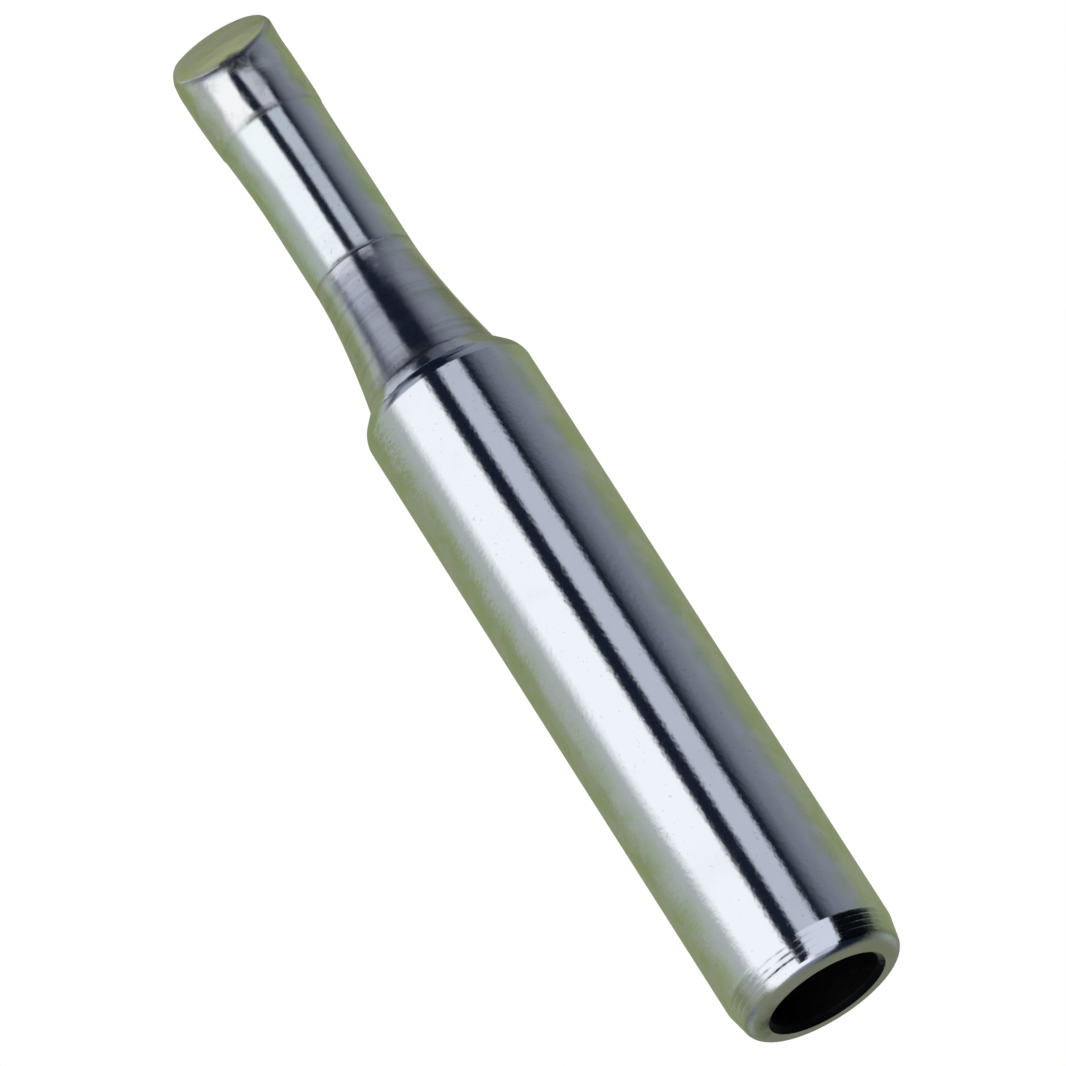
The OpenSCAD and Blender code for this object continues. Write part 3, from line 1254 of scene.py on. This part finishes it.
def attribute(tree, name):
    """A number that was written on the vertices."""
    return add(tree, "ShaderNodeAttribute", attribute_name=name).outputs["Fac"]


def metal_masks(tree, pits, ripples, marks, smudges):
    """What the groups and the vertices say about a place, by name."""
    place = add(tree, "ShaderNodeTexCoord").outputs["Object"]
    pit = place_group(tree, "pits", place, Size=pits[0], Share=pits[1])
    clouds = place_group(tree, "smudges", place, Size=REFLECTION_CLOUD_SIZE, Share=REFLECTION_CLOUD_SHARE)["Mask"]
    # Dirt and painted shade, as written on the vertices.
    residue_and_shade = attribute(tree, "residue_and_shade")
    return {
        "pit": pit["Mask"],
        "pit_height": pit["Height"],
        "ripple_height": place_group(tree, "ripples", place, Size=ripples[0])["Height"],
        "mark_height": place_group(tree, "marks", place, Spacing=marks[0])["Height"],
        "smudge": place_group(tree, "smudges", place, Size=smudges[0], Share=smudges[1])["Mask"],
        # Painted olive reflection on the sides, in clouds.
        "flux_and_reflection": math_node(tree, "MULTIPLY", clouds, attribute(tree, "flux_and_reflection")),
        "residue_and_shade": place_group(tree, "residue_and_shade", place, Amount=residue_and_shade, Size=RESIDUE_GRAIN)["Mask"],
    }


print(f"flux in clouds of {REFLECTION_CLOUD_SIZE} mm, residue in grains of {RESIDUE_GRAIN:.2f} mm")

# %% [markdown]
# The colour is that of the plating, dimmed by films and pits, tinted on the sides by the
# painted olive reflection, and dark under residue and painted shade. The roughness rises in
# a smudge, on the dull rim and under the residue and painted shade, and falls nowhere to
# zero, because nothing that is handled stays a perfect mirror. The bump adds the heights of
# ripples, marks and pits, each a few thousandths of a millimetre at most. Displacement could
# move the surface itself, but the mesh would have to be far finer, and more height than
# that would look like hammering.

# %% Colour, roughness and height of a metal
# Dark colour of residue, pits and painted shade.
RESIDUE_AND_SHADE_COLOUR = (0.11, 0.12, 0.13)
FILM_COLOUR = (0.62, 0.62, 0.60)
# Tint of the painted olive reflection on the sides.
FLUX_AND_REFLECTION_TINT = (0.94, 0.975, 0.87)
PIT_SHADE = 0.2
DULL_ROUGHNESS = 0.30
RESIDUE_AND_SHADE_ROUGHNESS = 0.3
RING_HEIGHTS = (-0.05, 0.2)


def metal_colour(tree, masks, colour, film, rings):
    """Colour of the plating under its films and pits, tinted by the painted reflection on the sides,
    and dark under dirt and painted shade.
    """
    ring = smooth_step(tree, masks["mark_height"], *RING_HEIGHTS)
    smudged = math_node(tree, "MULTIPLY", masks["smudge"], film)
    filmed = math_node(tree, "MULTIPLY_ADD", ring, rings, smudged)
    pitted = math_node(tree, "MULTIPLY", masks["pit"], PIT_SHADE)
    shade = mix_colour(tree, filmed, colour, FILM_COLOUR)
    # Painted olive reflection on the sides, in clouds like a film of flux.
    shade = mix_colour(tree, masks["flux_and_reflection"], shade, FLUX_AND_REFLECTION_TINT, "MULTIPLY")
    shade = mix_colour(tree, pitted, shade, RESIDUE_AND_SHADE_COLOUR)
    # Dark under residue and painted shade.
    return mix_colour(tree, masks["residue_and_shade"], shade, RESIDUE_AND_SHADE_COLOUR)


def metal_roughness(tree, masks, polish, smudge_roughness):
    """Roughness of the polish, and what smudges, dullness, dirt and painted shade add to it."""
    dull = math_node(tree, "MULTIPLY", attribute(tree, "dull"), DULL_ROUGHNESS)
    rough = math_node(tree, "MULTIPLY_ADD", masks["smudge"], smudge_roughness, polish)
    rough = math_node(tree, "ADD", rough, dull)
    return math_node(tree, "MULTIPLY_ADD", masks["residue_and_shade"], RESIDUE_AND_SHADE_ROUGHNESS, rough)


def metal_height(tree, masks, ripple_depth, mark_depth, pit_depth):
    """Height of the surface in millimetres."""
    height = math_node(tree, "MULTIPLY", masks["ripple_height"], ripple_depth)
    height = math_node(tree, "MULTIPLY_ADD", masks["mark_height"], mark_depth, height)
    return math_node(tree, "MULTIPLY_ADD", masks["pit_height"], pit_depth, height)


print(f"the dull rim is {DULL_ROUGHNESS} rougher than the barrel")

# %% Shader of every surface
def finish_material(material, shade, rough, height, shader):
    """Feed a surface's colour, roughness and height to its shader."""
    tree = material.node_tree
    bump = add(tree, "ShaderNodeBump", Distance=MM)
    out = add(tree, "ShaderNodeOutputMaterial")
    tree.links.new(height, bump.inputs["Height"])
    tree.links.new(shade, shader.inputs["Base Color"])
    tree.links.new(rough, shader.inputs["Roughness"])
    tree.links.new(bump.outputs["Normal"], shader.inputs["Normal"])
    tree.links.new(shader.outputs["BSDF"], out.inputs["Surface"])


def make_metal(name, colour, polish, pits, ripples, marks, smudges, film, rings=0.0):
    """Plated or tinned metal: pits as (size, share, depth), ripples and marks as (size, depth),
    smudges as (size, share, roughness), and how much of a film they and the marks leave."""
    material = new_material(name)
    tree = material.node_tree
    masks = metal_masks(tree, pits, ripples, marks, smudges)
    shade = metal_colour(tree, masks, colour, film, rings)
    rough = metal_roughness(tree, masks, polish, smudges[2])
    height = metal_height(tree, masks, ripples[1], marks[1], pits[2])
    shader = add(tree, "ShaderNodeBsdfPrincipled", Metallic=1.0)
    finish_material(material, shade, rough, height, shader)
    return material


print(f"a height of 1 in the bump stands for {MM} m")

# %% [markdown]
# The four metals differ in a few values. The barrel is the brightest and has the fewest
# smudges. The neck shows rings, because nobody polishes a curve as well as a cylinder. The
# solder has no rings at all, but larger pits and more smudges. A new metal could start
# from a copied tree, but four rows of values show at a glance how they differ.

# %% Metals
METALS = {
    "barrel_plate": {"colour": (0.95, 0.96, 0.98), "polish": 0.09, "pits": (0.16, 0.10, 0.0004),
                     "ripples": (0.19, 0.0032), "marks": (0.2, 0.0004),
                     "smudges": (2.5, 0.3, 0.02), "film": 0.06},
    "neck_plate": {"colour": (0.95, 0.95, 0.97), "polish": 0.13, "pits": (0.2, 0.12, 0.0006),
                   "ripples": (0.26, 0.0032), "marks": (0.36, 0.0026),
                   "smudges": (0.7, 0.5, 0.06), "film": 0.12, "rings": 0.25},
    "shaft_plate": {"colour": (0.95, 0.97, 0.98), "polish": 0.12, "pits": (0.16, 0.12, 0.0004),
                    "ripples": (0.24, 0.0026), "marks": (0.2, 0.0006),
                    "smudges": (1.2, 0.3, 0.03), "film": 0.07},
    "solder": {"colour": (0.97, 0.97, 0.97), "polish": 0.11, "pits": (0.22, 0.12, 0.0008),
               "ripples": (0.30, 0.0030), "marks": (0.3, 0.0),
               "smudges": (0.8, 0.5, 0.08), "film": 0.12},
}
MATERIALS = {name: make_metal(name, **values) for name, values in METALS.items()}
print("metals:", ", ".join(MATERIALS))

# %% [markdown]
# The bore is where the heater sits, at three hundred degrees and more. Its copper wall is
# covered with a thick, almost black oxide that flakes in patches. A very dark metal would
# still mirror the mouth, so it is no metal to the shader at all: a dark, rough,
# brown-black crust with a little scale standing out of it.

# %% Oxide of the bore
OXIDE_DARK = (0.045, 0.04, 0.04)
OXIDE_BROWN = (0.12, 0.10, 0.085)
OXIDE_ROUGHNESS = 0.55
OXIDE_SHEEN = 0.25
OXIDE_PIT_SIZE = 0.12
OXIDE_PIT_DEPTH = 0.006
OXIDE_SHARE = 0.5
FLAKE_SIZE = 0.35
FLAKE_ROUGHNESS = 0.2
FLAKE_HEIGHT = 0.01


def make_oxide():
    """The burnt crust on the wall of the bore."""
    material = new_material("bore_oxide")
    tree = material.node_tree
    place = add(tree, "ShaderNodeTexCoord").outputs["Object"]
    flakes = place_group(tree, "smudges", place, Size=FLAKE_SIZE, Share=OXIDE_SHARE)["Mask"]
    pit = place_group(tree, "pits", place, Size=OXIDE_PIT_SIZE, Share=OXIDE_SHARE)
    shade = mix_colour(tree, flakes, OXIDE_DARK, OXIDE_BROWN)
    rough = math_node(tree, "MULTIPLY_ADD", flakes, FLAKE_ROUGHNESS, OXIDE_ROUGHNESS)
    height = math_node(tree, "MULTIPLY", flakes, FLAKE_HEIGHT)
    height = math_node(tree, "MULTIPLY_ADD", pit["Height"], OXIDE_PIT_DEPTH, height)
    shader = add(tree, "ShaderNodeBsdfPrincipled", Specular_IOR_Level=OXIDE_SHEEN)
    finish_material(material, shade, rough, height, shader)
    return material


MATERIALS["bore_oxide"] = make_oxide()
for surface in SURFACES:
    tip_mesh.materials.append(MATERIALS[surface])
print("surfaces:", ", ".join(material.name for material in tip_mesh.materials))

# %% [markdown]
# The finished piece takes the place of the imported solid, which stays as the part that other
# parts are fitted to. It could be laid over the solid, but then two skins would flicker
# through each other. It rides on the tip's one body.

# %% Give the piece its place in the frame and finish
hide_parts(NODE)
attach(tip, list(frame["bodies"])[0])
print(f"{tip.name} replaces {NODE}")
